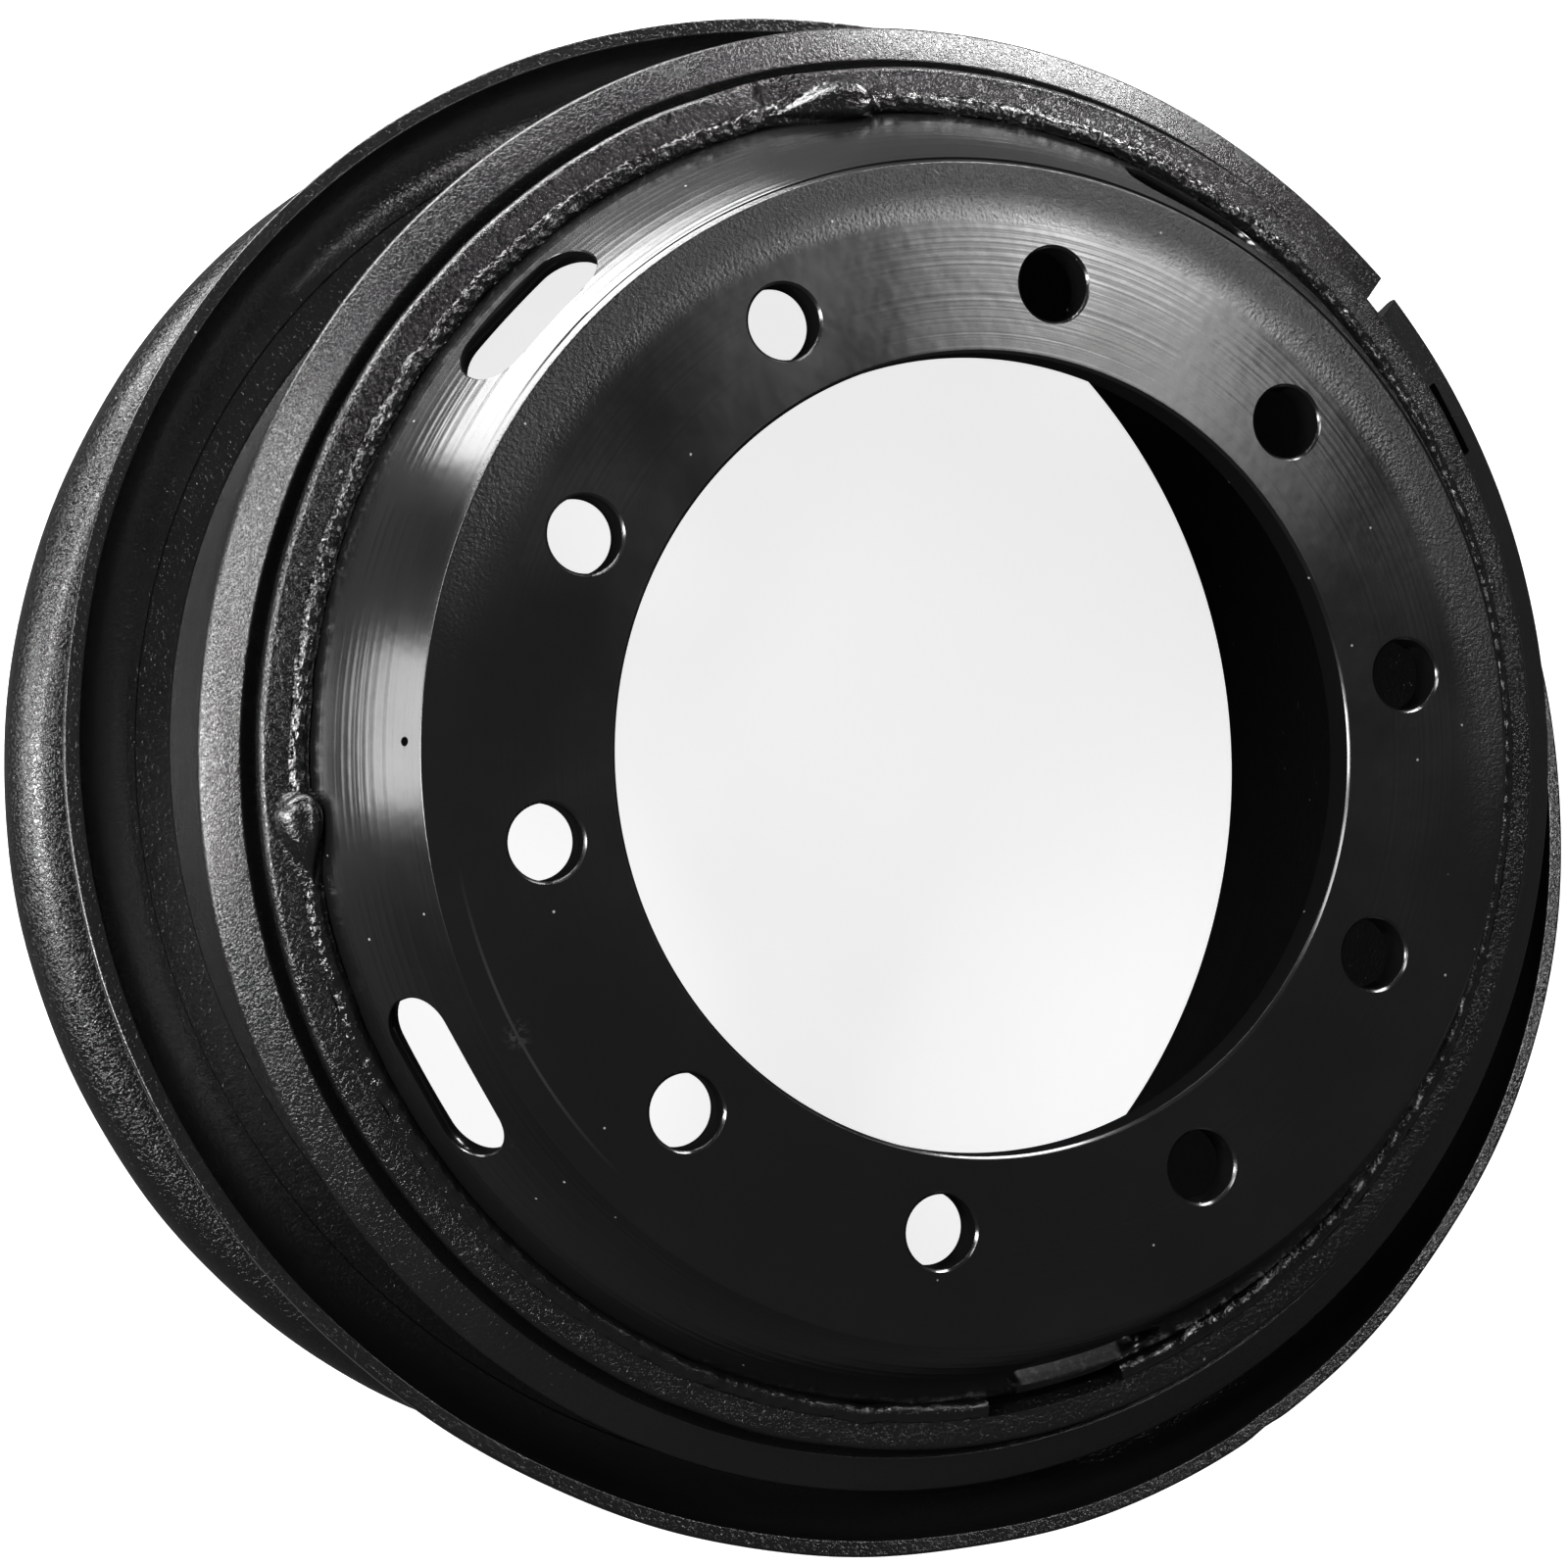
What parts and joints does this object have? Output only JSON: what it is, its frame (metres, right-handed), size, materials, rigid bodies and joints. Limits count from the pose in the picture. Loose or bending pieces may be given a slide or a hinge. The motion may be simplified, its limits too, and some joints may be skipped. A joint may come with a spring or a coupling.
{
  "type": "truck wheel",
  "caption": "Steel disc wheel for a tube tyre: a dished disc welded into a flat-base rim, with a loose side ring and a split lock ring.",
  "frame": {"origin": "centre of the hub bore on the disc's mounting face", "axes": "+Z along the wheel's axis, out of its outer face; the wheel lies flat on the lip of its fixed flange"},
  "size_m": [0.6054, 0.6048, 0.311],
  "materials": {
    "black_rim_enamel": "satin black enamel on rolled steel",
    "black_disc_enamel": "satin black enamel on turned and hot-rolled steel",
    "black_weld_enamel": "glossy black enamel on a rippled weld bead",
    "black_lock_ring_enamel": "satin black enamel on rolled steel",
    "black_side_ring_enamel": "satin black enamel on rolled steel"
  },
  "bodies": {
    "root": {"rim_base": "black_rim_enamel", "wheel_disc": "black_disc_enamel", "disc_weld": "black_weld_enamel", "lock_ring": "black_lock_ring_enamel", "side_ring": "black_side_ring_enamel"}
  },
  "joints": []
}
